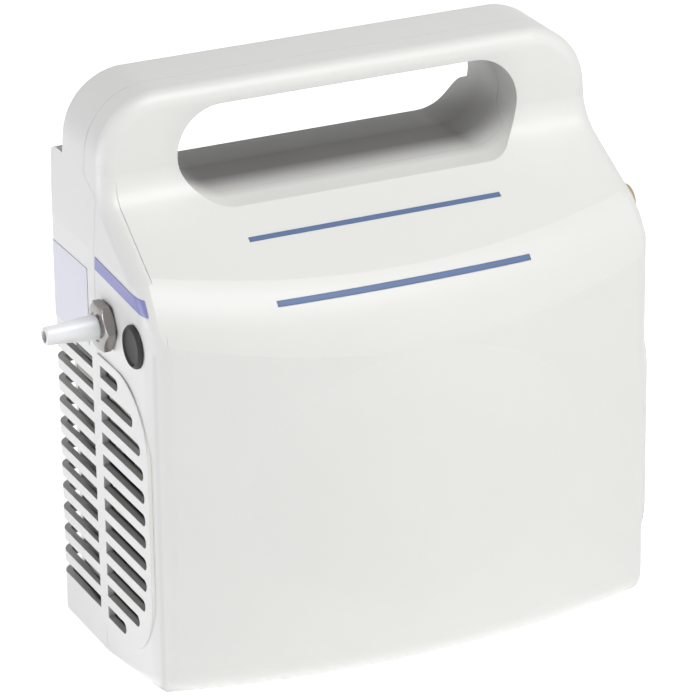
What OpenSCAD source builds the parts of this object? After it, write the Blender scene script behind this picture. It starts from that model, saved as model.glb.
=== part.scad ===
// Twin-head dry diaphragm vacuum pump in a moulded carry case.
// The shaft runs along X, the front of the case faces -Y and Z points up from the feet.

/* [Case] */
// Width across the side walls
case_w = 228; // [220:1:240]
// Height of the case without its feet
case_h = 246; // [243:1:252]
// Seam plane to the middle of the bulged front
front_depth = 74.5; // [72:0.5:78]
// Seam plane to the flat back
back_depth = 52; // [50:0.5:58]
// Moulded wall thickness
wall = 3; // [2.5:0.25:3.5]
// Radius of the bulged front, seen from above
bulge_r = 393; // [360:1:600]
// Radius of the upright front corners
front_corner_r = 12; // [10:0.5:14]
// Radius of the upright back corners
back_corner_r = 8; // [6:0.5:9]
// Radius under the front
chin_r = 16; // [12:0.5:17]
// Height of the shallow raised oval on the front
dome_rise = 3; // [2:0.25:4]
// Radius across of the raised oval's surface
dome_r = 283; // [270:1:290]
// Upright radius of the raised oval's surface
dome_tall_r = 541; // [500:1:600]
// Height of the raised oval's middle
dome_z = 88; // [86:1:90]
// Length of the front screw posts
post_l = 24; // [18:1:30]
// Diameter of the screw posts
post_d = 11; // [9:0.5:12]
// Side wall to the screw posts' axes
post_inset = 16; // [14:0.5:17]
// Heights of the body's screw posts
post_z = [11.5, 182]; // [11:0.5:184]
// Gap between the two case halves and behind fitted pieces
fit_gap = 0.2; // [0.15:0.05:0.3]

/* [Handle] */
// Seam plane of the body to the front of the handle
handle_front = 4; // [3:0.5:6]
// Seam plane of the body to the back of the handle
handle_back = 42; // [40:0.5:44]
// Slope of the front between body and handle, from upright
flare_angle = 60; // [58:1:62]
// Height where the front starts to lean back
flare_z = 142; // [140:0.5:143]
// Radius of the roll where the lean starts
flare_low_r = 40; // [38:0.5:42]
// Radius of the hollow where the lean ends
flare_top_r = 15; // [14:0.5:17]
// Radius of the edges of the slope, the legs and the handle
edge_r = 7; // [6:0.5:8]
// Height where the sides start to lean in
lean_z = 181; // [180:0.5:182]
// How far each side has leaned in where the handle's corners start
side_lean = 2.5; // [2:0.25:3]
// Radius of the handle's top corners, seen from the front
handle_corner_r = 28; // [24:1:34]
// Radius of the shoulder behind the handle
shoulder_r = 9; // [7:0.5:9.5]
// Height of the shoulder's top
shoulder_z = 212; // [211:0.5:213]
// Half of the hand opening's straight edge
grip_half = 57.5; // [54:0.5:60]
// Radius of the hand opening's round ends
grip_r = 20; // [19:0.25:20.5]
// Height of the hand opening's middle
grip_z = 217.5; // [217:0.25:218]
// How far back the seam steps in the handle
seam_step = 13; // [12:0.5:14]
// Heights where the seam starts and ends its slanted step
seam_step_z = [204, 211]; // [200:1:214]

/* [Vents] */
// Number of slots in each column
vent_count = 12; // [11:1:12]
// Top of the highest slot
vent_top = 132.9; // [131:0.1:134]
// Height from slot to slot
vent_pitch = 10; // [9.8:0.1:10]
// Height of one slot
vent_h = 5.4; // [4.5:0.1:6]
// Seam plane to the front slots' back ends
vent_front_start = 4.3; // [4:0.1:6]
// Seam plane to the back slots' front ends
vent_back_start = 5.8; // [5:0.1:7]
// Reach of each front slot from the seam plane, top to bottom
vent_reach = [23, 38, 45.2, 47.8, 48.4, 48.6, 48.6, 48.4, 47.8, 45.6, 38.8, 23.8]; // [15:0.1:49]
// How far the back slots wrap onto the back
vent_wrap = 10; // [8:0.5:12]
// Step of the raised panel around the front slots
panel_step = 0.8; // [0.5:0.1:1]

/* [Labels] */
// Back end of the rating label's front edge, from the seam plane
label_y = 8; // [7:0.5:10]
// Lower edge of the rating label
label_z = 137; // [135:0.5:140]
// Height of the rating label
label_h = 34; // [30:0.5:36]
// Lower edge of the side strip
strip_z = 174; // [173:0.5:175]
// Height of the side strip
strip_h = 5.6; // [4:0.1:6]
// How far the strip's front end stays behind the slope
strip_end = 1.2; // [1:0.1:2]
// Angle by which the strip drops towards the front
strip_tilt = 3.4; // [3:0.1:4]
// Width of the two printed lines on the front
stripe_w = 2.4; // [1.5:0.1:3]
// Slope distance from the slope's top to the upper line
stripe_drop = 24.5; // [24:0.5:28]
// Middle of the printed lines, measured from the middle of the case
stripe_x = -2.5; // [-4:0.5:0]
// Height of the lower line
stripe_low_z = 171.5; // [170:0.5:173]

/* [Ports] */
// Height of the inlet and exhaust axes
port_z = 154; // [153:0.5:155]
// Half the distance between inlet and exhaust axes
port_half = 14; // [13.5:0.25:14.5]
// Thread diameter of the bulkhead fittings
bulkhead_d = 14; // [13:0.5:15]
// Width across flats of the bulkhead nuts
bulkhead_flats = 19; // [18:0.5:20]
// Thickness of the bulkhead nuts
bulkhead_nut_h = 5; // [4:0.5:6]
// Diameter of the spigot's collar
collar_d = 16; // [15:0.5:16.5]
// Diameter of the spigot where it leaves the collar
spigot_root_d = 12; // [11:0.5:13]
// Diameter of the spigot near its tip
spigot_d = 9; // [8.5:0.25:10]
// Bore of the spigot
spigot_bore = 5; // [4:0.25:5.5]
// Reach of the spigot and the silencer past the side walls
port_reach = 28; // [26:0.5:32]
// Diameter of the silencer
silencer_d = 18; // [16:0.5:20]
// Outer diameter of the barbs inside the case
barb_d = 9; // [8.5:0.25:9.5]
// Wall of the hoses
hose_wall = 2; // [1.5:0.25:2.25]
// Diameter of the blanking plug's head
plug_d = 18.3; // [17:0.1:19]
// Thickness of the blanking plug's head
plug_h = 2.2; // [1.8:0.1:3]
// Diameter of the blanking plug's stem
plug_stem_d = 14; // [12:0.5:15]
// Seam plane to the blanking plug
plug_y = 41.5; // [40:0.5:42]
// Height of the blanking plug
plug_z = 155; // [153:0.5:156]

/* [Drive] */
// Height of the shaft above the case bottom
shaft_z = 64; // [64:0.5:66]
// Seam plane to the shaft, backwards
shaft_y = 1; // [0:0.5:1]
// Diameter of the shaft
shaft_d = 10; // [9:0.5:10]
// Room between a head and the side wall
end_room = 5; // [4:0.5:5]
// Throw of the crank pins
throw = 2; // [1.5:0.25:2.25]
// Running clearance on radius
run_gap = 0.02; // [0.01:0.01:0.03]
// Room between the heads and the housings' webs
web_room = 6; // [6:0.25:7]
// Side of the square stator
stator_w = 80; // [78:1:80]
// Bore of the stator
stator_bore = 46; // [44:0.5:47]
// Air gap around the rotor
air_gap = 0.4; // [0.3:0.05:0.6]
// Reach of the winding ends past the stack
winding_l = 14; // [12:0.5:14]
// Outer diameter of the shaft bearings
bearing_d = 26; // [24:1:26]
// Width of the shaft bearings
bearing_w = 7; // [6:0.5:7]
// Bore of the rod bearings
pin_d = 20; // [19:0.5:21]
// Outer diameter of the rod bearings
rod_bearing_d = 37; // [35:0.5:38]
// Width of the rod bearings
rod_bearing_w = 9; // [8:0.5:9]
// Distance from crank pin to diaphragm
rod_l = 42; // [42:0.5:44]
// Radius of the fan
fan_r = 32; // [28:0.5:32]
// Number of fan blades
fan_blades = 7; // [5:1:9]

/* [Heads] */
// Length of a head along the shaft
head_l = 60; // [58:1:60]
// Width of a head across the shaft
head_w = 84; // [82:1:84]
// Diameter of a diaphragm
diaphragm_d = 57; // [55:1:58]
// Thickness of a diaphragm
diaphragm_h = 2; // [1.5:0.25:2]
// Diameter of the pumping chamber
chamber_d = 48; // [46:1:50]
// Diameter of the clamp discs
clamp_d = 26; // [24:1:28]
// Thickness of the clamp discs
clamp_h = 2.5; // [2:0.25:2.5]
// Thickness of a head plate
plate_h = 14; // [14:0.5:15]
// Thickness of a head cover
cover_h = 14; // [13:0.5:14]
// Diameter of a valve disc
valve_d = 14; // [12:0.5:14]
// Thickness of a valve disc
valve_h = 1; // [0.8:0.1:1.2]
// Lift of a valve disc
valve_lift = 0.8; // [0.6:0.1:0.9]
// Half the distance between the two valves of a head
valve_half = 12; // [11:0.5:12]

/* [Mounting] */
// Head diameter of the screws
screw_head_d = 8; // [7:0.5:8]
// Room between the base plate's ends and the side walls
base_room = 23; // [22:0.5:25]
// Width of the base plate
base_w = 88; // [84:1:90]
// Thickness of the base plate
base_h = 2; // [1.5:0.25:2.5]
// Height of the base plate's underside
base_z = 7; // [7:0.25:7.5]
// Height of the rubber isolators
isolator_h = 10; // [9:0.5:10]
// Diameter of the rubber isolators
isolator_d = 16; // [14:0.5:17]
// Thread diameter of the case and mounting screws
screw_d = 4; // [3.5:0.25:4]
// Height of the rubber feet below the case
foot_h = 1.5; // [1:0.25:2.5]
// Diameter of the rubber feet
foot_d = 16; // [14:0.5:18]
// Diameter of the feet's stems
foot_stem_d = 6.4; // [5:0.2:7]

/* [Electrical] */
// Width of the mains inlet's body
inlet_w = 27; // [26:0.5:28]
// Height of the mains inlet's body
inlet_h = 20; // [19:0.5:21]
// How far the inlet's and the switch's frames stand off the back
bezel_h = 3.6; // [3:0.1:4]
// Height of the inlet and the switch
power_z = 172; // [171:0.5:174]
// Middle of the case to the mains inlet
inlet_x = 40; // [36:1:44]
// Middle of the case to the switch
switch_x = 12; // [8:1:20]
// Width of the switch's body
switch_w = 19; // [18:0.5:21]
// Height of the switch's body
switch_h = 13; // [12.5:0.5:14]
// Tilt of the switched-off rocker
rocker_tilt = 8; // [5:0.5:9]
// Diameter of the run capacitor
cap_d = 30; // [28:0.5:30]
// Room between the run capacitor's ends and the heads
cap_room = 18; // [16:1:20]

/* [Hidden] */
$fn = 96;

side = case_w / 2;
big = 2 * case_h;
eps = fit_gap / 4;
seam_y = (front_depth + dome_rise - back_depth - bezel_h) / 2;
dome_half = flare_z - dome_z + wall;

bulge_y = bulge_r - front_depth;
corner_x = side - front_corner_r;
corner_y = bulge_y - sqrt(pow(bulge_r - front_corner_r, 2) - corner_x * corner_x);

low_y = flare_low_r - front_depth;
low_end_y = low_y - flare_low_r * cos(flare_angle);
low_end_z = flare_z + flare_low_r * sin(flare_angle);
top_start_y = -handle_front - flare_top_r * (1 - cos(flare_angle));
top_start_z = low_end_z + (top_start_y - low_end_y) / tan(flare_angle);
top_z = top_start_z + flare_top_r * sin(flare_angle);
sweep_r = bulge_r * sin(flare_angle);
handle_half = side - side_lean;
turn_z = case_h - handle_corner_r;
side_angle = atan(side_lean / (turn_z - lean_z));
lean_lap = edge_r * sin(side_angle) + (turn_z - lean_z) * (1 - cos(side_angle));
chin_turn = asin(side / (bulge_r - chin_r)) + flare_angle / 12;
chin_run = atan(front_corner_r * (1 - cos(45)) / -corner_y);
step_a = seam_step_z[0];
step_b = seam_step_z[1];
panel_z = vent_top - (vent_count - 1) * vent_pitch / 2 - vent_h / 2;
panel_r = (vent_count - 1) * vent_pitch / 2 + vent_h / 2 + vent_front_start;
post_x = side - post_inset;
grip_post_x = side - (side - grip_half - grip_r) / 2;
grip_post_z = grip_z + wall;
bulkhead_l = wall * 2 + bulkhead_d;

deck_z = shaft_z + rod_l;
deck_h = bearing_w + valve_h;
plate_z = deck_z + diaphragm_h;
cover_z = plate_z + plate_h + eps;
cover_top = cover_z + cover_h;
dish_h = clamp_h + throw + valve_h;
pocket_h = 2 * valve_lift + 2 * valve_h;
head_x = side - wall - end_room - head_l / 2;
web_x = head_x - head_l / 2 - web_room;
stator_half = web_x - winding_l - 2 * hose_wall;
web_h = bearing_w + diaphragm_h;
rod_x = head_x - rod_bearing_w / 2;
bolt_half = (stator_w - screw_head_d) / 2 - screw_d - fit_gap * 2;
cheek = wall * 5 / 3;
isolator_x = web_x + web_h + isolator_d / 2 + screw_d + valve_h;
isolator_y = (base_w - isolator_d) / 2 - diaphragm_h;
base_l = 2 * (side - wall - base_room);
cap_l = 2 * (head_x - head_l / 2 - cap_room);
base_screw_x = base_l / 2 - isolator_d / 2 - diaphragm_h;
housing_foot_z = base_z + base_h + isolator_h + 2 * eps;
head_screw_x = head_l / 2 - screw_d - valve_h;
head_screw_y = head_w / 2 - screw_d - wall;
hose_d = barb_d + 2 * hose_wall;
hose_z = cover_z + cover_h * 0.43;
bend_r = hose_d - wall / 2;
bridge_z = shaft_z + stator_w / 2 + eps;
bridge_h = base_h * 0.75;
bridge_x = web_x + deck_h / 2;
cap_y = shaft_y - port_half - hose_d / 2 - cap_d / 2 - 2 * valve_h;
clip_h = wall / 2;
cap_z = bridge_z + bridge_h + fit_gap + clip_h + cap_d / 2;
fan_x = head_x + head_l / 2 - bearing_w - diaphragm_h;

nut_flats = screw_head_d - valve_h;
winding_r = stator_bore / 2 + valve_h;
fan_w = shaft_d * 0.8;
barb_l = (head_x - head_l / 2 - bend_r - wall) / 2;
tee_rise = port_z - bend_r - hose_z;
valve_stem_d = valve_d * 0.21;
clip_w = isolator_d * 0.75;
clip_screw_y = cap_y + cap_d * 0.68;
inlet_depth = inlet_h;
pin_t = base_h;
pin_w = screw_d;
rocker_l = switch_w - 2 * wall / 2;
rocker_h = switch_h - wall - 2 * fit_gap;
lead_d = wall * 0.8;

module at_case() translate([0, seam_y, foot_h]) children();
module at_shaft() at_case() translate([0, shaft_y, shaft_z]) children();
module along_x(from_x, to_x, d) translate([from_x, 0, 0]) rotate([0, 90, 0]) cylinder(d = d, h = to_x - from_x);
module along_y(from_y, to_y, d) translate([0, from_y, 0]) rotate([-90, 0, 0]) cylinder(d = d, h = to_y - from_y);
module box(x0, x1, y0, y1, z0, z1) translate([x0, y0, z0]) cube([x1 - x0, y1 - y0, z1 - z0]);
module hexagon(flats, h) cylinder(d = flats / cos(30), h = h, $fn = 6);
module on_side(s) if (s < 0) mirror([1, 0, 0]) children(); else children();
module both_sides() for (s = [-1, 1]) on_side(s) children();

// Case outline seen from above, moved in by inset.
module plan_outline(inset) {
    reach = corner_x * (bulge_r - inset) / (bulge_r - front_corner_r);
    intersection() {
        translate([0, bulge_y]) circle(r = bulge_r - inset, $fn = 360);
        translate([-reach, -front_depth - wall]) square([2 * reach, front_depth + wall + corner_y]);
    }
    for (s = [-1, 1]) translate([s * corner_x, corner_y]) circle(r = front_corner_r - inset);
    translate([-side + inset, corner_y]) square([2 * (side - inset), back_depth - back_corner_r - corner_y]);
    for (s = [-1, 1]) translate([s * (side - back_corner_r), back_depth - back_corner_r])
        circle(r = back_corner_r - inset);
    translate([-side + back_corner_r, 0]) square([2 * (side - back_corner_r), back_depth - inset]);
}

// Waste of a rounded corner whose rounding is centred on the origin, outwards along both axes.
module corner_waste(r, inset) difference() {
    square(r * 1.5);
    circle(r = r - inset);
}

// Case outline seen from the side: x is depth, y is height. The roll under the slope is cut by front_roll.
module side_outline(inset) {
    front = inset - front_depth;
    slope_foot = low_end_z - inset * sin(flare_angle) + (front - low_end_y - inset * cos(flare_angle)) / tan(flare_angle);
    difference() {
        polygon([[front, inset], [front, slope_foot],
            [top_start_y + inset * cos(flare_angle), top_start_z - inset * sin(flare_angle)],
            [inset - handle_front, top_z], [inset - handle_front, case_h - inset], [handle_back - inset, case_h - inset],
            [handle_back - inset, shoulder_z - inset], [back_depth - inset, shoulder_z - inset],
            [back_depth - inset, inset]]);
        translate([edge_r - handle_front, case_h - edge_r]) rotate(90) corner_waste(edge_r, inset);
        translate([handle_back - edge_r, case_h - edge_r]) corner_waste(edge_r, inset);
        translate([back_depth - shoulder_r, shoulder_z - shoulder_r]) corner_waste(shoulder_r, inset);
        translate([-handle_front - flare_top_r, top_z]) circle(r = flare_top_r + inset);
    }
}

// Case outline seen from the front.
module face_outline(inset) {
    translate([-side + inset, inset]) square([2 * (side - inset), lean_z - inset]);
    polygon([[inset - side, lean_z], [side - inset, lean_z], [handle_half - inset, turn_z], [inset - handle_half, turn_z]]);
    for (s = [-1, 1]) translate([s * (handle_half - handle_corner_r), turn_z]) circle(r = handle_corner_r - inset);
    translate([-handle_half + handle_corner_r, case_h / 2])
        square([2 * (handle_half - handle_corner_r), case_h / 2 - inset]);
}

// Everything behind the roll that follows the bulge from upright to the slope; its axis is square to the slope.
module front_roll(inset) {
    r = flare_low_r - inset + 2 * eps;
    foot = [sweep_r + r * sin(flare_angle), r * cos(flare_angle)];
    translate([0, low_y, flare_z]) rotate([90 - flare_angle, 0, 0]) translate([0, sweep_r, 0])
        rotate_extrude($fn = 360) difference() {
            polygon([[0, -big], [0, case_h], [sweep_r, case_h], [sweep_r, r], [sweep_r + r * tan(flare_angle / 2), r],
                foot + big * [cos(flare_angle), -sin(flare_angle)]]);
            difference() {
                polygon([[sweep_r, 0], [sweep_r, r], [sweep_r + r * tan(flare_angle / 2), r], foot]);
                translate([sweep_r, 0]) circle(r = r, $fn = 180);
            }
        }
}

// Waste of a rounded edge of the case, set out a little so that it crosses the faces cleanly.
module edge_waste(inset) translate([eps, eps]) corner_waste(edge_r, inset);

// Turns what follows an upright side wall to the lean of its upper part.
module lean_in() translate([side, 0, lean_z]) rotate([0, -side_angle, 0]) translate([-side, 0, -lean_z]) children();

// Waste along the right-hand edges, from the front's upright corner up to the handle's corners.
module edge_cuts(inset) {
    roll_y = corner_y - front_corner_r + flare_low_r;
    translate([side - edge_r, roll_y, flare_z + (roll_y - low_y) / tan(flare_angle)]) rotate([90, 0, 90])
        rotate([0, 0, 180 - flare_angle]) rotate_extrude(angle = flare_angle)
            translate([flare_low_r - edge_r, 0]) edge_waste(inset);
    lean_in() {
        translate([side - edge_r, top_start_y, top_start_z]) rotate([180 - flare_angle, 0, 0]) translate([0, -edge_r, 0])
            linear_extrude((top_start_y - roll_y) / sin(flare_angle) + flare_low_r / tan(flare_angle) + edge_r)
                edge_waste(inset);
        translate([side - edge_r, -handle_front - flare_top_r, top_z]) rotate([90, 0, 90]) rotate([0, 0, -flare_angle])
            rotate_extrude(angle = flare_angle) translate([flare_top_r + edge_r, 0]) mirror([1, 0]) edge_waste(inset);
        translate([side - edge_r, edge_r - handle_front, turn_z + lean_lap]) rotate([180, 0, 0])
            linear_extrude(turn_z - top_z + 2 * lean_lap) translate([eps, eps]) edge_waste(inset);
        translate([side - edge_r + eps, handle_back - edge_r + eps, shoulder_z - inset])
            linear_extrude(turn_z - shoulder_z + inset + lean_lap) edge_waste(inset);
    }
    for (s = [-1, 1]) translate([handle_half - handle_corner_r, s < 0 ? edge_r - handle_front : handle_back - edge_r, turn_z])
        mirror([0, s < 0 ? 0 : 1, 0]) rotate([90, 0, 0]) rotate_extrude(angle = 90)
            translate([handle_corner_r - edge_r, 0]) edge_waste(inset);
}

// Waste along the lower edges: under the bulge, round the front corners, and running out towards the seam.
module chin_cuts(inset) {
    translate([0, bulge_y, chin_r]) rotate([0, 0, -90 - chin_turn]) rotate_extrude(angle = 2 * chin_turn)
        translate([bulge_r - chin_r + eps, -eps]) mirror([0, 1]) corner_waste(chin_r, inset);
    both_sides() {
        translate([corner_x, corner_y, front_corner_r]) rotate([0, 0, -90]) rotate_extrude(angle = 90)
            translate([eps, -eps]) mirror([0, 1]) corner_waste(front_corner_r, inset);
        translate([corner_x, corner_y, front_corner_r]) rotate([-chin_run, 0, -chin_run]) rotate([-90, 0, 0])
            translate([eps, eps, -wall / 2]) linear_extrude(wall / 2 - corner_y) corner_waste(front_corner_r, inset);
    }
}

module grip_outline(margin) {
    translate([-grip_half, grip_z - grip_r - margin]) square([2 * grip_half, 2 * (grip_r + margin)]);
    for (s = [-1, 1]) translate([s * grip_half, grip_z]) circle(r = grip_r + margin);
}

module case_solid(inset) difference() {
    intersection() {
        linear_extrude(case_h) plan_outline(inset);
        translate([-case_w, 0, 0]) rotate([90, 0, 90]) linear_extrude(2 * case_w) side_outline(inset);
        translate([0, back_depth, 0]) rotate([90, 0, 0]) linear_extrude(front_depth + back_depth) face_outline(inset);
        front_roll(inset);
    }
    both_sides() edge_cuts(inset);
    chin_cuts(inset);
}

module grip_hole(margin) translate([0, big / 2, 0]) rotate([90, 0, 0]) linear_extrude(big) grip_outline(margin);

// The space in front of the stepped seam.
module front_space(gap) {
    translate([-case_w, 0, 0]) rotate([90, 0, 90]) linear_extrude(2 * case_w) polygon([[-big, -big], [-gap, -big],
        [-gap, step_a], [seam_step - gap, step_b], [seam_step - gap, big], [-big, big]]);
}

// Walls of a case whose outer solid is the child.
module walls_of() {
    difference() {
        children();
        difference() {
            case_solid(wall);
            grip_hole(wall);
        }
        grip_hole(0);
    }
}

module front_slots() for (i = [0 : vent_count - 1]) {
    z1 = vent_top - i * vent_pitch;
    box(side - wall * 2, side + wall, -vent_reach[i] + vent_h / 2, -vent_front_start, z1 - vent_h, z1);
    translate([0, -vent_reach[i] + vent_h / 2, z1 - vent_h / 2]) along_x(side - wall * 2, side + wall, vent_h);
}

module back_slots() for (i = [0 : vent_count - 1]) {
    z1 = vent_top - i * vent_pitch;
    box(side - wall * 1.5, side + wall, vent_back_start, back_depth + wall, z1 - vent_h, z1);
    box(side - vent_wrap, side + wall, back_depth - wall * 2, back_depth + wall, z1 - vent_h, z1);
}

module vent_panel() translate([side - wall / 2, 0, panel_z]) rotate([90, 0, 90]) linear_extrude(panel_step + wall / 2)
    intersection() {
        reach = max(vent_reach) + vent_front_start;
        r = panel_r / 2;
        union() {
            for (z = [-1, 1]) translate([r - reach, z * r]) circle(r = r);
            translate([-reach, -r]) square([reach, panel_r]);
            translate([r - reach, -panel_r]) square([reach - r, 2 * panel_r]);
        }
        translate([-2 * reach, -2 * r]) square([2 * reach - wall / 2, 4 * r]);
    }

// Shallow lens on the front, rounder across than upright.
module dome() intersection() {
    translate([0, dome_r - front_depth - dome_rise, dome_z]) rotate([0, 0, -90]) rotate_extrude($fn = 360) intersection() {
        translate([dome_r - dome_tall_r, 0]) circle(r = dome_tall_r);
        translate([dome_r - dome_rise * 4, -dome_half]) square([dome_rise * 5, 2 * dome_half]);
    }
    box(-corner_x, corner_x, -big, corner_y, 0, case_h);
}

// Screw posts of the case: the front ones take the thread, the back ones the head.
module post_places() {
    for (z = post_z) both_sides() translate([post_x, 0, z]) children();
}
module grip_post_places() both_sides() translate([grip_post_x, 0, grip_post_z]) children();
module base_post_places(y_sign) {
    for (s = [-1, 1]) translate([s * base_screw_x, shaft_y + y_sign * isolator_y, wall / 2]) children();
}
module foot_places(y_sign) {
    y = y_sign < 0 ? -front_depth * 0.45 : back_depth * 0.6;
    for (s = [-1, 1]) translate([s * (side - foot_d * 1.5), y, 0]) children();
}

module front_shell() color("#e9e9e6") at_case() {
    difference() {
        union() {
            intersection() {
                walls_of() union() {
                    case_solid(0);
                    dome();
                }
                front_space(fit_gap / 2);
            }
            both_sides() vent_panel();
            post_places() {
                along_y(-post_l, -eps, post_d);
                box(0, side - post_x - wall / 2, -post_l, -eps, -wall / 2, wall / 2);
            }
            grip_post_places() along_y(-handle_front + wall / 2, seam_step - eps, post_d);
            base_post_places(-1) cylinder(d = post_d, h = base_z - fit_gap - wall / 2);
        }
        both_sides() front_slots();
        post_places() along_y(-post_l + wall, wall, screw_d + eps);
        grip_post_places() along_y(-handle_front + wall, seam_step + wall, screw_d + eps);
        base_post_places(-1) cylinder(d = screw_d + eps, h = base_z);
        foot_places(-1) translate([0, 0, -wall]) cylinder(d = foot_stem_d + eps, h = wall * 3);
        translate([0, shaft_y - port_half, port_z]) along_x(-side - wall, -side + wall * 2, bulkhead_d + eps);
        translate([0, -plug_y, plug_z]) along_x(-side - wall, -side + wall * 2, plug_stem_d + eps);
    }
}

module rear_shell() color("#e4e4e2") at_case() {
    difference() {
        union() {
            difference() {
                walls_of() case_solid(0);
                front_space(-fit_gap / 2);
            }
            post_places() along_y(eps, back_depth - wall / 2, post_d);
            grip_post_places() along_y(seam_step + eps, handle_back - wall / 2, post_d);
            base_post_places(1) cylinder(d = post_d, h = base_z - fit_gap - wall / 2);
        }
        both_sides() back_slots();
        post_places() {
            along_y(-wall, back_depth, screw_d + 2 * eps);
            along_y(back_depth - screw_d, back_depth + wall, screw_head_d + 2 * eps);
        }
        grip_post_places() {
            along_y(0, handle_back, screw_d + 2 * eps);
            along_y(handle_back - screw_d, handle_back + wall, screw_head_d + 2 * eps);
        }
        base_post_places(1) cylinder(d = screw_d + eps, h = base_z);
        foot_places(1) translate([0, 0, -wall]) cylinder(d = foot_stem_d + eps, h = wall * 3);
        translate([0, shaft_y + port_half, port_z]) along_x(side - wall * 2, side + wall, bulkhead_d + eps);
        power_hole(-inlet_x, inlet_w, inlet_h);
        power_hole(switch_x, switch_w, switch_h);
    }
}

module power_hole(x, w, h) box(x - w / 2 - eps, x + w / 2 + eps, back_depth - wall * 2, back_depth + wall,
    power_z - h / 2 - eps, power_z + h / 2 + eps);

// Sticker that follows the left wall of the case.
module sticker(from_y, to_y, h) linear_extrude(h) intersection() {
    difference() {
        plan_outline(-eps - fit_gap);
        plan_outline(-eps);
    }
    translate([-case_w, from_y]) square([case_w / 2, to_y - from_y]);
}

module rating_label() color("#f4f4f6") at_case()
    translate([0, 0, label_z]) sticker(label_y, back_depth - screw_d / 2, label_h);

// Strip along the left wall that bends round the front corner and ends short of the slope.
module side_strip() color("#8f93c8") at_case() intersection() {
    difference() {
        case_solid(-eps - fit_gap);
        case_solid(-eps);
    }
    front_roll(strip_end);
    translate([0, -valve_h, strip_z]) rotate([strip_tilt, 0, 0]) box(-case_w, -side / 2, -front_depth, 0, 0, strip_h);
}

// Two printed lines: the upper lies on the slope, the lower on the roll below it.
module front_stripes() color("#5f6aa0") at_case() {
    translate([0, top_start_y, top_start_z]) rotate([90 - flare_angle, 0, 0])
        box(stripe_x - side / 2, stripe_x + side / 2, -stripe_drop - stripe_w, -stripe_drop, eps, eps + fit_gap);
    intersection() {
        difference() {
            front_roll(-eps - fit_gap);
            front_roll(-eps);
        }
        box(stripe_x - side / 2, stripe_x + side / 2, -front_depth, low_y - flare_low_r / 2, stripe_low_z - stripe_w * 0.8, stripe_low_z);
    }
}

// White stepped hose spigot, pushed into its bulkhead from outside.
module hose_spigot() color("#eef0f0") at_case() translate([-side, shaft_y - port_half, port_z]) rotate([0, -90, 0])
    difference() {
        union() {
            translate([0, 0, -wall * 3]) cylinder(d = barb_d, h = wall * 3 + bulkhead_nut_h + fit_gap);
            translate([0, 0, bulkhead_nut_h + fit_gap]) cylinder(d = collar_d, h = wall);
            translate([0, 0, bulkhead_nut_h + wall]) cylinder(d1 = spigot_root_d, d2 = spigot_d, h = port_reach * 0.55);
            cylinder(d = spigot_d, h = port_reach - wall / 2);
            translate([0, 0, port_reach - wall / 2]) cylinder(d1 = spigot_d, d2 = spigot_d - wall / 2, h = wall / 2);
        }
        translate([0, 0, -wall * 4]) cylinder(d = spigot_bore, h = port_reach + wall * 5);
    }

// Plated bulkhead: hexagon outside, thread through the wall, nut and barb inside.
module bulkhead() rotate([0, -90, 0]) difference() {
    union() {
        translate([0, 0, eps + panel_step / 8]) intersection() {
            hexagon(bulkhead_flats, bulkhead_nut_h);
            cylinder(d1 = bulkhead_flats * 1.2, d2 = bulkhead_flats * 1.05, h = bulkhead_nut_h);
        }
        translate([0, 0, -wall * 4]) cylinder(d = bulkhead_d, h = wall * 4 + bulkhead_nut_h);
        translate([0, 0, -wall - eps - bulkhead_nut_h]) hexagon(bulkhead_flats, bulkhead_nut_h);
        translate([0, 0, -bulkhead_l]) cylinder(d = barb_d, h = bulkhead_l);
    }
    translate([0, 0, -2 * bulkhead_l]) cylinder(d = spigot_bore, h = 4 * bulkhead_l);
    translate([0, 0, -wall * 3 - eps]) cylinder(d = barb_d + 2 * eps, h = wall * 6);
}

module inlet_bulkhead() color("#c9c6c0") at_case() translate([-side, shaft_y - port_half, port_z]) bulkhead();

module exhaust_bulkhead() color("#c9c6c0") at_case() mirror([1, 0, 0])
    translate([-side, shaft_y + port_half, port_z]) bulkhead();

module hole_plug() color("#262626") at_case() translate([-side - eps, -plug_y, plug_z]) rotate([0, -90, 0]) {
    cylinder(d = plug_d, h = plug_h * 0.6);
    translate([0, 0, plug_h * 0.6]) cylinder(d1 = plug_d, d2 = plug_d * 0.85, h = plug_h * 0.4);
    translate([0, 0, -wall * 1.5]) cylinder(d = plug_stem_d, h = wall * 1.5);
    translate([0, 0, -wall * 1.5]) cylinder(d1 = plug_stem_d * 0.9, d2 = plug_stem_d * 1.06, h = wall * 0.4);
}

// Sintered exhaust silencer on the right side.
module exhaust_silencer() color("#d9d6cc") at_case() translate([side, shaft_y + port_half, port_z]) rotate([0, 90, 0])
    difference() {
        union() {
            translate([0, 0, -wall * 3]) cylinder(d = barb_d, h = wall * 3 + bulkhead_nut_h + fit_gap);
            translate([0, 0, bulkhead_nut_h + fit_gap]) cylinder(d = silencer_d, h = port_reach - bulkhead_nut_h - wall);
            translate([0, 0, port_reach - wall + fit_gap])
                cylinder(d1 = silencer_d, d2 = silencer_d * 0.8, h = wall - fit_gap);
        }
        translate([0, 0, -wall * 4]) cylinder(d = spigot_bore, h = port_reach + wall);
        for (a = [0 : 45 : 315], z = [0.4, 0.6, 0.8]) rotate([0, 0, a]) translate([0, 0, port_reach * z])
            rotate([0, 90, 0]) cylinder(d = wall / 1.5, h = silencer_d);
    }

// Screw driven from the back: seat_y is under its head, tip_y its point.
module case_screw(seat_y, tip_y) {
    along_y(seat_y + eps, seat_y + eps + screw_d * 0.7, screw_head_d);
    along_y(tip_y, seat_y + 2 * eps, screw_d - eps);
}

module case_screws() color("#9a9a98") at_case() {
    post_places() case_screw(back_depth - screw_d, -post_l / 2);
    grip_post_places() case_screw(handle_back - screw_d, wall);
}

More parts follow.
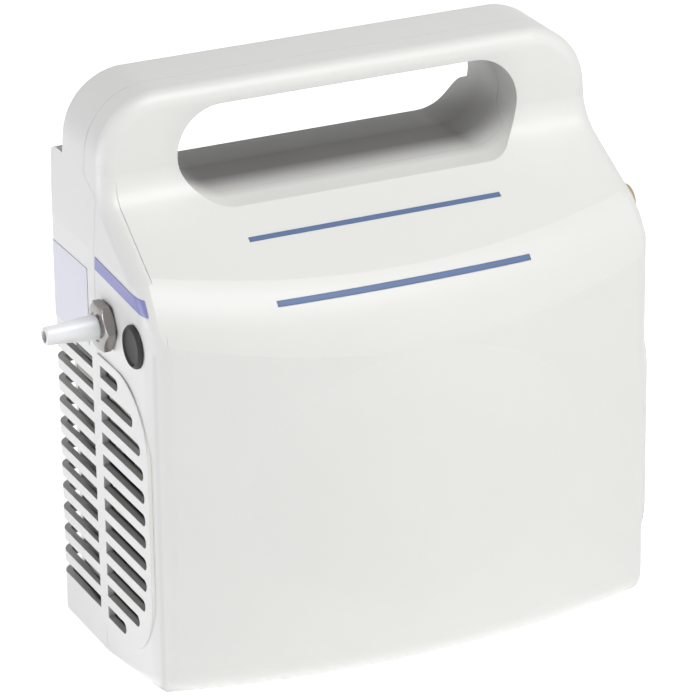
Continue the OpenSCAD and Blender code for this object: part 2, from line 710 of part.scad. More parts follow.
// Push-in rubber feet with a snap bead above the case bottom.
module feet() color("#2b2b2b") at_case() for (y_sign = [-1, 1]) foot_places(y_sign) {
    translate([0, 0, -foot_h]) cylinder(d = foot_d, h = foot_h - eps);
    translate([0, 0, -foot_h]) cylinder(d = foot_stem_d - eps, h = foot_h + wall * 1.4);
    translate([0, 0, wall + eps]) cylinder(d1 = foot_stem_d * 1.25, d2 = foot_stem_d * 0.8, h = wall * 0.4);
}

module base_plate() color("#b9bcbd") at_case() difference() {
    box(-base_l / 2, base_l / 2, shaft_y - base_w / 2, shaft_y + base_w / 2, base_z, base_z + base_h);
    for (y_sign = [-1, 1]) {
        base_post_places(y_sign) cylinder(d = screw_d + 2 * eps, h = 2 * base_z);
        isolator_places(y_sign) cylinder(d = screw_d + 2 * eps, h = 2 * base_z);
    }
    translate([0, shaft_y, 0]) cylinder(d = stator_bore, h = 2 * base_z);
}

module isolator_places(y_sign) for (s = [-1, 1])
    translate([s * isolator_x, shaft_y + y_sign * isolator_y, 0]) children();

module base_screws() color("#8d8f90") at_case() for (y_sign = [-1, 1]) base_post_places(y_sign) {
    translate([0, 0, base_z + base_h + eps - wall / 2]) cylinder(d = screw_head_d, h = screw_d * 0.6);
    translate([0, 0, fit_gap]) cylinder(d = screw_d - eps, h = base_z + base_h - wall / 2);
}

module isolators() color("#303030") at_case() for (y_sign = [-1, 1]) isolator_places(y_sign)
    translate([0, 0, base_z + base_h + eps]) difference() {
        cylinder(d = isolator_d, h = isolator_h);
        translate([0, 0, -wall]) cylinder(d = screw_d + 2 * eps, h = isolator_h + 2 * wall);
        rotate_extrude() translate([isolator_d / 2 + wall / 2, isolator_h / 2]) circle(d = isolator_h / 2);
    }

module mount_bolts() color("#8d8f90") at_case() for (y_sign = [-1, 1]) isolator_places(y_sign) {
    translate([0, 0, housing_foot_z + cheek + eps]) hexagon(nut_flats, wall);
    translate([0, 0, base_z - eps - wall * 1.05]) hexagon(nut_flats, wall);
    translate([0, 0, base_z - eps - wall * 1.05]) cylinder(d = screw_d - eps, h = housing_foot_z + cheek + 2 * wall - base_z);
}

// Cast bracket at one end of the motor: bearing web, crankcase cheeks and the deck that carries the head.
module housing(s) color("#b4b6b8") at_shaft() on_side(s) {
    edge = head_x + head_l / 2 - bearing_w - 2 * wall;
    difference() {
        union() {
            box(web_x, web_x + web_h, -head_w / 2, head_w / 2, housing_foot_z - shaft_z, stator_w / 2);
            box(web_x, isolator_x + isolator_d * 0.65, -head_w / 2, head_w / 2, housing_foot_z - shaft_z,
                housing_foot_z - shaft_z + cheek);
            for (y_sign = [-1, 1]) box(web_x, edge, y_sign * (head_w - cheek) / 2 - cheek / 2,
                y_sign * (head_w - cheek) / 2 + cheek / 2, housing_foot_z - shaft_z, stator_w / 2);
            box(head_x - head_l / 2, head_x + head_l / 2, -head_w / 2, head_w / 2, rod_l - deck_h, rod_l);
            for (y = [-1, 1], z = [-1, 1]) translate([0, y * bolt_half, z * bolt_half])
                along_x(stator_half + eps, web_x + wall, screw_d * 2.5);
        }
        along_x(web_x - wall, web_x + bearing_w, bearing_d + 2 * run_gap);
        along_x(web_x, web_x + web_h + wall, bearing_d * 0.75);
        for (y = [-1, 1], z = [-1, 1]) translate([0, y * bolt_half, z * bolt_half])
        {
            along_x(stator_half - wall, web_x + web_h + wall, screw_d + 2 * eps);
            along_x(web_x + web_h, web_x + web_h + wall + 4 * eps, nut_flats / cos(30) + 4 * eps);
        }
        translate([head_x, 0, 0]) {
            cylinder(d = chamber_d, h = 2 * rod_l);
            translate([0, -head_w, 0]) along_y(0, 2 * head_w, bearing_d * 1.5);
            for (x = [-1, 1], y = [-1, 1]) translate([x * head_screw_x, y * head_screw_y, 0])
                cylinder(d = screw_d + eps, h = 2 * rod_l);
        }
        for (y = [-1, 1]) translate([isolator_x, y * isolator_y, housing_foot_z - shaft_z]) {
            translate([0, 0, -wall]) cylinder(d = screw_d + 2 * eps, h = shaft_z / 2);
            translate([0, 0, cheek]) cylinder(d = nut_flats / cos(30) + 4 * eps, h = 2 * wall);
        }
        for (y = [-1, 1]) translate([bridge_x - wall / 2, y * bolt_half * 0.4, stator_w / 2 - deck_h])
            cylinder(d = screw_d * 0.75, h = 2 * deck_h);
    }
}
module left_housing() housing(-1);
module right_housing() housing(1);

module stator() color("#5d5f63") at_shaft() difference() {
    box(-stator_half, stator_half, -stator_w / 2, stator_w / 2, -stator_w / 2, stator_w / 2);
    along_x(-stator_w, stator_w, stator_bore);
    for (y = [-1, 1], z = [-1, 1]) translate([0, y * bolt_half, z * bolt_half])
        along_x(-stator_w, stator_w, screw_d + 2 * eps);
    for (a = [45 : 90 : 315]) rotate([a, 0, 0]) box(-stator_w, stator_w, stator_w * 0.66, stator_w, -stator_w, stator_w);
}

// Copper winding ends on both faces of the stator.
module windings() color("#b06a3a") at_shaft() both_sides() translate([stator_half + eps, 0, 0]) rotate([0, 90, 0])
    rotate_extrude() translate([winding_r, 0]) union() {
        square([cap_d / 3, winding_l - wall]);
        translate([wall, 0]) square([cap_d / 3 - 2 * wall, winding_l - eps]);
        for (x = [wall, cap_d / 3 - wall]) translate([x, winding_l - wall - eps]) circle(r = wall);
    }

module tie_bolts() color("#8d8f90") at_shaft() for (y = [-1, 1], z = [-1, 1]) translate([0, y * bolt_half, z * bolt_half]) {
    end = web_x + web_h + eps;
    along_x(-end - wall, end + wall, screw_d - eps);
    both_sides() translate([end, 0, 0]) rotate([0, 90, 0]) hexagon(nut_flats, wall);
}

module ball_bearing(outer, inner, w) {
    rotate([0, 90, 0]) rotate_extrude() difference() {
        translate([inner / 2, 0]) square([(outer - inner) / 2, w]);
        for (y = [0, w]) translate([(outer + inner) / 4 - (outer - inner) / 12, y - fit_gap * 2])
            square([(outer - inner) / 6, fit_gap * 4]);
    }
}

module shaft_bearings() color("#c4c8cc") at_shaft() both_sides()
    translate([web_x - eps, 0, 0]) ball_bearing(bearing_d, shaft_d + 2 * run_gap, bearing_w);

module rotor() color("#8a8d92") at_shaft() difference() {
    union() {
        along_x(-stator_half, stator_half, stator_bore - 2 * air_gap);
        along_x(-stator_half - wall, stator_half + wall, stator_bore - stator_w * 0.1);
    }
    along_x(-stator_w, stator_w, shaft_d + 2 * run_gap);
    both_sides() for (a = [0 : 30 : 330]) rotate([a, 0, 0]) translate([stator_half + wall / 2, 0, stator_bore * 0.33])
        along_x(0, wall, screw_d);
}

module shaft() color("#a9adb2") at_shaft() {
    along_x(-fan_x - fan_w - valve_h, head_x + rod_bearing_w + wall, shaft_d);
}

// Crank with its counterweight; phase 1 has the pin up, phase -1 down.
module eccentric(s, phase) color("#9b8f7a") at_shaft() on_side(s) difference() {
    union() {
        along_x(web_x + web_h + wall, rod_x - fit_gap * 3, pin_d * 1.2);
        translate([0, 0, phase * throw]) {
            along_x(rod_x - wall, rod_x - fit_gap / 2, pin_d + wall);
            along_x(rod_x - wall, rod_x + rod_bearing_w + valve_h, pin_d);
        }
        intersection() {
            along_x(web_x + web_h + wall, rod_x - wall - fit_gap, rod_bearing_d * 1.2);
            box(0, side, -stator_w, stator_w, phase > 0 ? -stator_w : throw, phase > 0 ? -throw : stator_w);
        }
    }
    along_x(0, side, shaft_d + 2 * run_gap);
}
module left_eccentric() eccentric(-1, 1);
module right_eccentric() eccentric(1, -1);

module fan() color("#3a3d42") at_shaft() mirror([1, 0, 0]) translate([fan_x, 0, 0]) difference() {
    union() {
        along_x(0, fan_w, shaft_d * 2);
        for (i = [0 : fan_blades - 1]) rotate([i * 360 / fan_blades, 0, 0]) translate([fan_w / 2, 0, shaft_d * 0.8])
            rotate([0, 0, 40]) box(-wall / 4, wall / 4, -fan_w * 0.6, fan_w * 0.6, 0, fan_r - shaft_d * 0.8);
    }
    along_x(-wall, fan_w + wall, shaft_d + 2 * run_gap);
}

module rod_bearing(s, phase) color("#c4c8cc") at_shaft() on_side(s) translate([rod_x, 0, phase * throw])
    ball_bearing(rod_bearing_d, pin_d + 2 * run_gap, rod_bearing_w);
module left_rod_bearing() rod_bearing(-1, 1);
module right_rod_bearing() rod_bearing(1, -1);

module rod(s, phase) color("#b7babd") at_shaft() on_side(s) translate([rod_x, 0, phase * throw]) difference() {
    union() {
        along_x(0, rod_bearing_w, rod_bearing_d + 3 * wall);
        box(0, rod_bearing_w, -wall * 2, wall * 2, rod_bearing_d / 2 + wall, rod_l - wall / 2);
        translate([rod_bearing_w / 2, 0, rod_l - wall - eps]) cylinder(d = clamp_d, h = wall);
    }
    along_x(-wall, rod_bearing_w + wall, rod_bearing_d + 2 * run_gap);
    translate([rod_bearing_w / 2, 0, rod_l - clamp_d / 2]) cylinder(d = screw_d + 2 * eps, h = clamp_d);
}
module left_rod() rod(-1, 1);
module right_rod() rod(1, -1);

// Moulded disc, drawn as it lies with its middle moved by the throw.
module diaphragm(s, phase) color("#1f1f1f") at_shaft() on_side(s) translate([head_x, 0, rod_l]) rotate_extrude() {
    r_hole = screw_d / 2 + 2 * eps;
    r_clamp = clamp_d / 2 + valve_h;
    r_rim = chamber_d / 2 - valve_h;
    shift = phase * throw;
    polygon([[r_hole, shift], [r_clamp, shift], [r_rim, eps], [diaphragm_d / 2, eps],
        [diaphragm_d / 2, diaphragm_h - eps], [r_rim, diaphragm_h - eps], [r_clamp, shift + diaphragm_h],
        [r_hole, shift + diaphragm_h]]);
}
module left_diaphragm() diaphragm(-1, 1);
module right_diaphragm() diaphragm(1, -1);

// Disc and its countersunk screw, which pull the diaphragm onto the rod.
module clamp_disc(s, phase) color("#c9cccf") at_shaft() on_side(s)
    translate([head_x, 0, rod_l + phase * throw + diaphragm_h + eps]) {
        cylinder(d = clamp_d, h = clamp_h);
        translate([0, 0, -clamp_d / 2 + wall]) cylinder(d = screw_d - eps, h = clamp_d / 2);
    }
module left_clamp_disc() clamp_disc(-1, 1);
module right_clamp_disc() clamp_disc(1, -1);

module valve_ports(from_z, to_z) for (a = [45 : 90 : 315]) rotate([0, 0, a])
    translate([valve_d * 0.3, 0, from_z]) cylinder(d = valve_d * 0.22, h = to_z - from_z);

// Head plate with the pumping chamber below and a valve seat on each side.
module head_plate(s) color("#cfcfca") at_case() translate([s * head_x, shaft_y, plate_z]) {
    difference() {
        translate([-head_l / 2, -head_w / 2, eps]) cube([head_l, head_w, plate_h - eps]);
        translate([0, 0, -wall]) cylinder(d1 = chamber_d, d2 = chamber_d, h = wall + dish_h);
        translate([0, -valve_half, 0]) {
            cylinder(d = valve_d + 2 * valve_h, h = dish_h + pocket_h);
            valve_ports(dish_h, 2 * plate_h);
        }
        translate([0, valve_half, 0]) {
            translate([0, 0, plate_h - pocket_h]) cylinder(d = valve_d + 2 * valve_h, h = plate_h);
            valve_ports(0, 2 * plate_h);
        }
        for (x = [-1, 1], y = [-1, 1]) translate([x * head_screw_x, y * head_screw_y, -wall])
            cylinder(d = screw_d + 2 * eps, h = 2 * plate_h);
    }
    translate([0, -valve_half, dish_h + eps]) {
        cylinder(d = valve_stem_d, h = pocket_h);
        cylinder(d = valve_stem_d * 1.8, h = pocket_h - valve_h - valve_lift - 2 * eps);
    }
    translate([0, valve_half, plate_h - pocket_h]) {
        translate([0, 0, -eps]) cylinder(d = valve_stem_d, h = pocket_h);
        translate([0, 0, valve_h + valve_lift + 2 * eps])
            cylinder(d = valve_stem_d * 1.8, h = pocket_h - valve_h - valve_lift - 4 * eps);
    }
}
module left_head_plate() head_plate(-1);
module right_head_plate() head_plate(1);

module valve_disc(s, y, z) color("#c2552f") at_case() translate([s * head_x, shaft_y + y, z]) difference() {
    cylinder(d = valve_d, h = valve_h);
    translate([0, 0, -wall]) cylinder(d = valve_stem_d + 2 * run_gap, h = 2 * wall);
}
module intake_valve(s) valve_disc(s, -valve_half, plate_z + dish_h + pocket_h - valve_h - run_gap);
module exhaust_valve(s) valve_disc(s, valve_half, plate_z + plate_h - pocket_h + run_gap);
module left_intake_valve() intake_valve(-1);
module left_exhaust_valve() exhaust_valve(-1);
module right_intake_valve() intake_valve(1);
module right_exhaust_valve() exhaust_valve(1);

// Cover with an intake and an exhaust chamber, each with a barb towards the middle of the pump.
module head_cover(s) color("#a8abae") at_case() on_side(s) translate([head_x, shaft_y, cover_z]) difference() {
    union() {
        translate([-head_l / 2, -head_w / 2, 0]) cube([head_l, head_w, cover_h]);
        for (y = [-1, 1]) translate([0, y * port_half, hose_z - cover_z])
            along_x(-head_l / 2 - barb_l, 0, barb_d);
        for (x = [-2 : 2]) box(x * cheek * 2 - valve_h, x * cheek * 2 + valve_h, -chamber_d / 2, chamber_d / 2,
            cover_h - valve_h, cover_h + wall);
    }
    for (y = [-1, 1]) {
        translate([-chamber_d / 2, y * valve_half - (valve_half - wall / 2), -wall])
            cube([chamber_d, 2 * valve_half - wall, cover_h - wall / 2]);
        translate([0, y * port_half, hose_z - cover_z]) along_x(-head_l, 0, spigot_bore);
    }
    for (x = [-1, 1], y = [-1, 1]) translate([x * head_screw_x, y * head_screw_y, -wall])
        cylinder(d = screw_d + 2 * eps, h = 2 * cover_h);
}
module left_head_cover() head_cover(-1);
module right_head_cover() head_cover(1);

module head_screws() color("#77797b") at_case() for (s = [-1, 1], x = [-1, 1], y = [-1, 1])
    translate([s * head_x + x * head_screw_x, shaft_y + y * head_screw_y, 0]) {
        translate([0, 0, cover_top + eps]) difference() {
            cylinder(d = nut_flats, h = screw_d);
            translate([0, 0, screw_d / 2]) hexagon(screw_d * 0.75, screw_d);
        }
        translate([0, 0, deck_z - deck_h + wall]) cylinder(d = screw_d - eps, h = cover_top - deck_z + deck_h - wall + screw_d * 0.4);
    }

// Tee between the two heads; the branch turns up to its port.
module tee() difference() {
    union() {
        along_x(-bend_r - wall, bend_r + wall, barb_d);
        along_x(-hose_d / 2 - wall / 2, hose_d / 2 + wall / 2, hose_d);
        cylinder(d = barb_d, h = tee_rise);
        cylinder(d = hose_d, h = hose_d / 2 + wall / 2);
    }
    along_x(-side, side, spigot_bore);
    cylinder(d = spigot_bore, h = side);
}
module intake_tee() color("#d7d9da") at_case() translate([0, shaft_y - port_half, hose_z]) tee();
module exhaust_tee() color("#d7d9da") at_case() translate([0, shaft_y + port_half, hose_z]) tee();

module hose_ring() difference() {
    circle(d = hose_d);
    circle(d = barb_d + 2 * run_gap);
}
module straight_hose(from_x, to_x) translate([from_x, 0, 0]) rotate([0, 90, 0]) linear_extrude(to_x - from_x) hose_ring();

// Hoses of one circuit, drawn for the intake, which leaves to the left.
module hoses(y) {
    turn_z = port_z - bend_r;
    translate([0, shaft_y + y, 0]) {
        both_sides() translate([0, 0, hose_z]) straight_hose(hose_d / 2 + wall / 2 + eps, head_x - head_l / 2 - eps);
        translate([0, 0, hose_z + hose_d / 2 + wall / 2 + eps])
            linear_extrude(turn_z - hose_z - hose_d / 2 - wall / 2 - eps) hose_ring();
        translate([-bend_r, 0, turn_z]) rotate([90, 0, 0]) rotate_extrude(angle = 90)
            translate([bend_r, 0]) hose_ring();
        translate([0, 0, port_z]) straight_hose(-side + wall * 4 + eps, -bend_r);
    }
}
module intake_hoses() color("#e3e5e2") at_case() hoses(-port_half);
module exhaust_hoses() color("#e3e5e2") at_case() mirror([1, 0, 0]) hoses(port_half);

// Steel strip that ties the two housings and carries the capacitor.
module bridge_plate() color("#b9bcbd") at_case() difference() {
    box(-web_x - deck_h / 2, web_x + deck_h / 2, cap_y - cap_d * 0.4, shaft_y + bolt_half * 0.6, bridge_z, bridge_z + bridge_h);
    bridge_screw_places() cylinder(d = screw_d * 0.75 + 2 * eps, h = big);
    translate([0, clip_screw_y, 0]) cylinder(d = screw_d * 0.75 + 2 * eps, h = big);
}
module bridge_screw_places() for (s = [-1, 1], y = [-1, 1])
    translate([s * (bridge_x - wall / 2), shaft_y + y * bolt_half * 0.4, 0]) children();

module bridge_screws() color("#8d8f90") at_case() {
    bridge_screw_places() {
        translate([0, 0, bridge_z + bridge_h + eps]) cylinder(d = screw_d * 1.4, h = screw_d * 0.5);
        translate([0, 0, bridge_z - wall * 2]) cylinder(d = screw_d * 0.75 - eps, h = wall * 2 + bridge_h + fit_gap);
    }
    translate([0, clip_screw_y, 0]) {
        translate([0, 0, bridge_z + bridge_h + fit_gap + clip_h + eps]) cylinder(d = screw_d * 1.4, h = screw_d * 0.5);
        translate([0, 0, bridge_z]) cylinder(d = screw_d * 0.75 - eps, h = wall / 2 + bridge_h + fit_gap);
    }
}

module capacitor() color("#e8e8e4") at_case() translate([0, cap_y, cap_z]) {
    along_x(-cap_l / 2, cap_l / 2, cap_d - fit_gap);
    for (y = [-1, 1]) translate([cap_l / 2, y * cap_d * 0.2, 0]) box(-wall, wall * 2, -valve_h / 2, valve_h / 2, -wall, wall);
}

module capacitor_clip() color("#b9bcbd") at_case() difference() {
    union() {
        translate([0, cap_y, cap_z]) along_x(-clip_w / 2, clip_w / 2, cap_d + 2 * clip_h);
        box(-clip_w / 2, clip_w / 2, cap_y, clip_screw_y + wall, bridge_z + bridge_h + fit_gap, bridge_z + bridge_h + fit_gap + clip_h);
    }
    translate([0, cap_y, cap_z]) along_x(-cap_l, cap_l, cap_d);
    translate([0, clip_screw_y, 0]) cylinder(d = screw_d * 0.75 + 2 * eps, h = big);
}

// Appliance inlet for a detachable mains lead.
module mains_inlet() color("#1c1c1e") at_case() translate([-inlet_x, back_depth, power_z]) difference() {
    union() {
        box(-inlet_w / 2 - wall, inlet_w / 2 + wall, eps, bezel_h, -inlet_h / 2 - wall, inlet_h / 2 + wall);
        box(-inlet_w / 2, inlet_w / 2, -inlet_depth, bezel_h, -inlet_h / 2, inlet_h / 2);
    }
    box(-inlet_w / 2 + wall / 2, inlet_w / 2 - wall / 2, -inlet_depth + wall * 2, wall * 2, -inlet_h / 2 + wall / 2, inlet_h / 2 - wall / 2);
    pin_places() box(-pin_t / 2 - eps, pin_t / 2 + eps, -2 * inlet_depth, 0, -pin_w / 2 - eps, pin_w / 2 + eps);
}
module pin_places() for (p = [[-inlet_w / 4, -wall * 0.7], [0, wall * 1.1], [inlet_w / 4, -wall * 0.7]])
    translate([p[0], 0, p[1]]) children();
module inlet_pins() color("#c9c6c0") at_case() translate([-inlet_x, back_depth, power_z])
    pin_places() box(-pin_t / 2, pin_t / 2, -inlet_depth - wall * 2, -wall, -pin_w / 2, pin_w / 2);

module switch_body() color("#1c1c1e") at_case() translate([switch_x, back_depth, power_z]) difference() {
    union() {
        box(-switch_w / 2 - valve_h, switch_w / 2 + valve_h, eps, bezel_h, -switch_h / 2 - valve_h * 2, switch_h / 2 + valve_h * 2);
        box(-switch_w / 2, switch_w / 2, -inlet_depth * 0.8, bezel_h, -switch_h / 2, switch_h / 2);
        for (x = [-1, 1]) box(x * wall * 2 - valve_h / 2, x * wall * 2 + valve_h / 2, -inlet_depth, 0, -wall, wall);
    }
    box(-rocker_l / 2 - fit_gap, rocker_l / 2 + fit_gap, -wall * 2.5, wall * 2, -switch_h / 2 + wall / 2, switch_h / 2 - wall / 2);
    translate([0, -wall, -switch_h]) cylinder(d = wall / 2 + 2 * run_gap, h = 2 * switch_h);
}

// Rocker on its cross pin, shown switched off.
module switch_rocker() color("#2a2a2d") at_case() translate([switch_x, back_depth - wall, power_z]) rotate([0, 0, rocker_tilt]) {
    half = rocker_l / 2 - valve_h / 2;
    translate([0, 0, -rocker_h / 2]) linear_extrude(rocker_h)
        polygon([[-half, wall * 1.2], [0, wall], [half, wall * 1.2], [half / 2, -wall / 2], [-half / 2, -wall / 2]]);
    translate([0, 0, -rocker_h / 2 - wall / 4]) cylinder(d = wall / 2, h = rocker_h + wall / 2);
}

// Insulated leads between inlet, switch and motor.
module lead_piece(a, b) hull() {
    translate(a) sphere(d = lead_d, $fn = 12);
    translate(b) sphere(d = lead_d, $fn = 12);
}
module lead(points) for (i = [1 : len(points) - 1]) lead_piece(points[i - 1], points[i]);
module leads() color("#3c4a7a") at_case() {
    pin_end = back_depth - inlet_depth - wall * 2 - lead_d / 2 - eps;
    tab_end = back_depth - inlet_depth - lead_d / 2 - eps;
    low_z = power_z - wall * 3;
    lead([[inlet_w / 4 - inlet_x, pin_end, power_z - wall * 0.7], [inlet_w / 2 - inlet_x, pin_end - 2 * lead_d, low_z],
        [switch_x - 3 * wall, pin_end - 2 * lead_d, low_z], [switch_x - wall * 2, tab_end, power_z]]);
    lead([[switch_x + wall * 2, tab_end, power_z], [stator_half + wall * 2, shaft_y + winding_r, cover_top],
        [stator_half + wall * 2, shaft_y + winding_r, shaft_z + cap_d * 0.88]]);
}

front_shell();
rear_shell();
rating_label();
side_strip();
front_stripes();
hose_spigot();
inlet_bulkhead();
hole_plug();
exhaust_silencer();
exhaust_bulkhead();
case_screws();
feet();
base_plate();
base_screws();
isolators();
mount_bolts();
left_housing();
right_housing();
stator();
windings();
tie_bolts();
shaft_bearings();
rotor();
shaft();
left_eccentric();
right_eccentric();
fan();
left_rod();
right_rod();
left_rod_bearing();
right_rod_bearing();
left_diaphragm();
right_diaphragm();
left_clamp_disc();
right_clamp_disc();
left_head_plate();
right_head_plate();
left_intake_valve();
left_exhaust_valve();
right_intake_valve();
right_exhaust_valve();
left_head_cover();
right_head_cover();
head_screws();
intake_tee();
exhaust_tee();
intake_hoses();
exhaust_hoses();
bridge_plate();
bridge_screws();
capacitor();
capacitor_clip();
mains_inlet();
inlet_pins();
switch_body();
switch_rocker();
leads();
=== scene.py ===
"""Looks of a portable diaphragm vacuum pump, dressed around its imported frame."""
import math

import bmesh
import bpy
from mathutils import Matrix, Vector


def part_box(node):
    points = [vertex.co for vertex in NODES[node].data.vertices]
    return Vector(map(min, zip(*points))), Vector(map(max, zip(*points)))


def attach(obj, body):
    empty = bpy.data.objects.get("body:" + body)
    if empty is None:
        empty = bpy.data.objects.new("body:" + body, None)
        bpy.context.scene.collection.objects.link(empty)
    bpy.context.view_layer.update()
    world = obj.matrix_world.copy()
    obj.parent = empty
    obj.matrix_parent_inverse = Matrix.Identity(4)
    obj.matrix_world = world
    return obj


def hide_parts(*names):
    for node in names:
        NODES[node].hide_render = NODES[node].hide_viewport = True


bl_info = {
    "name": "Diaphragm Vacuum Pump Looks",
    "version": (1, 0, 0),
    "blender": (4, 5, 0),
    "location": "View3D > Sidebar > Pump",
    "description": "Finishes and details of a portable diaphragm vacuum pump",
    "category": "Object",
}

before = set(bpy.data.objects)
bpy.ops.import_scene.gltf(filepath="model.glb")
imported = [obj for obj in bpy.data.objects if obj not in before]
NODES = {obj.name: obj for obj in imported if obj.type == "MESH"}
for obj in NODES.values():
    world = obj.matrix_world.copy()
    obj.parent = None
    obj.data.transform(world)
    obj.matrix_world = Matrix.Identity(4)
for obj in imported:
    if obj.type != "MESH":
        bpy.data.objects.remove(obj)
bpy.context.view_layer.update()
MM = 0.001
CLEARANCE = 0.05 * MM
LAMP_AIM = (0, 0, 0.12)
FLOOR_REACH = 6.0
# Name, property that holds its power, direction from the pump, distance and width.
LAMPS = (
    ("Front light", "front_power", (0.3, -0.95, 0.05), 1.1, 0.8),
    ("Top light", "top_power", (0.12, -0.46, 0.88), 1.3, 0.8),
    ("Side light", "side_power", (-0.9, 0.15, -0.1), 0.8, 0.45),
)
FINISHES = {
    "Sintered bronze": ((0.45, 0.36, 0.22), {"rough": 0.6, "metallic": 0.6, "depth": 0.5}),
    "Zinc steel": ((0.5, 0.5, 0.5), {"rough": 0.35, "metallic": 1.0, "depth": 0.05}),
    "Foot rubber": ((0.02, 0.02, 0.02), {"rough": 0.75}),
    "Cast aluminium": ((0.2, 0.2, 0.205), {"rough": 0.5, "metallic": 0.9, "depth": 0.3}),
    "Core iron": ((0.12, 0.12, 0.13), {"rough": 0.55, "metallic": 0.7}),
    "Copper wire": ((0.45, 0.17, 0.06), {"rough": 0.4, "metallic": 0.8, "depth": 0.6}),
    "Fan plastic": ((0.03, 0.032, 0.036), {"rough": 0.5}),
    "Head plastic": ((0.55, 0.53, 0.48), {"rough": 0.5}),
    "Valve rubber": ((0.35, 0.06, 0.03), {"rough": 0.7}),
    "Black rubber": ((0.02, 0.02, 0.02), {"rough": 0.7}),
    "Hose": ((0.7, 0.72, 0.7), {"rough": 0.35}),
    "Capacitor can": ((0.75, 0.75, 0.72), {"rough": 0.4}),
    "Lead insulation": ((0.05, 0.08, 0.3), {"rough": 0.45}),
    "Electric black": ((0.015, 0.015, 0.016), {"rough": 0.38}),
    "Pin brass": ((0.62, 0.52, 0.35), {"rough": 0.25, "metallic": 1.0, "depth": 0.02}),
}
WEARERS = {
    "fittings": {
        "Sintered bronze": ("exhaust_silencer",),
        "Zinc steel": ("case_screws",),
        "Foot rubber": ("feet",),
    },
    "inside": {
        "Zinc steel": ("base_plate", "base_screws", "mount_bolts", "tie_bolts", "head_screws", "bridge_plate",
                       "bridge_screws", "capacitor_clip", "left_clamp_disc", "right_clamp_disc", "shaft",
                       "shaft_bearings", "left_rod_bearing", "right_rod_bearing"),
        "Cast aluminium": ("left_housing", "right_housing", "left_rod", "right_rod", "left_head_cover",
                           "right_head_cover", "rotor"),
        "Core iron": ("stator", "left_eccentric", "right_eccentric"),
        "Copper wire": ("windings",),
        "Fan plastic": ("fan",),
        "Head plastic": ("left_head_plate", "right_head_plate"),
        "Valve rubber": ("left_intake_valve", "left_exhaust_valve", "right_intake_valve", "right_exhaust_valve"),
        "Black rubber": ("isolators", "left_diaphragm", "right_diaphragm"),
        "Hose": ("intake_hoses", "exhaust_hoses", "intake_tee", "exhaust_tee"),
        "Capacitor can": ("capacitor",),
        "Lead insulation": ("leads",),
    },
    "electrics": {
        "Electric black": ("mains_inlet", "switch_body", "switch_rocker"),
        "Pin brass": ("inlet_pins",),
    },
}


class CameraSettings(bpy.types.PropertyGroup):
    azimuth: bpy.props.FloatProperty(
        name="Azimuth", description="Turn of the camera round the pump from its front",
        default=math.radians(-25.0), subtype="ANGLE")
    elevation: bpy.props.FloatProperty(
        name="Elevation", description="Height of the camera above the horizon",
        default=math.radians(23.0), subtype="ANGLE")
    roll: bpy.props.FloatProperty(
        name="Roll", description="Turn of the picture about the line of sight",
        default=math.radians(0.7), subtype="ANGLE")
    distance: bpy.props.FloatProperty(
        name="Distance", description="Camera to the point it looks at", default=1.9034, unit="LENGTH")
    target: bpy.props.FloatVectorProperty(
        name="Target", description="Point that the camera looks at",
        default=(0.00093, 0.01151, 0.11714), subtype="XYZ")
    lens: bpy.props.FloatProperty(
        name="Lens", description="Focal length in millimetres", default=231.43, min=1.0)


class LightSettings(bpy.types.PropertyGroup):
    ambient: bpy.props.FloatProperty(
        name="Ambient", description="Light from all around, where 1 shows a white as white",
        default=0.06, min=0.0)
    front_power: bpy.props.FloatProperty(
        name="Front light", description="Power of the large low light in front",
        default=1.9, subtype="POWER")
    top_power: bpy.props.FloatProperty(
        name="Top light", description="Power of the large light overhead", default=14.0, subtype="POWER")
    side_power: bpy.props.FloatProperty(
        name="Side light", description="Power of the low light at the left", default=4.1, subtype="POWER")
    side_colour: bpy.props.FloatVectorProperty(
        name="Side colour", description="Cool tint of the light at the left",
        default=(0.93, 0.93, 1.0), subtype="COLOR", min=0.0, max=1.0)
    floor_bounce: bpy.props.FloatProperty(
        name="Floor bounce", description="White that the floor throws back at the pump",
        default=0.36, min=0.0)
    floor_glow: bpy.props.FloatProperty(
        name="Floor lift", description="Extra white of the floor as the camera sees it",
        default=0.95, min=0.0)


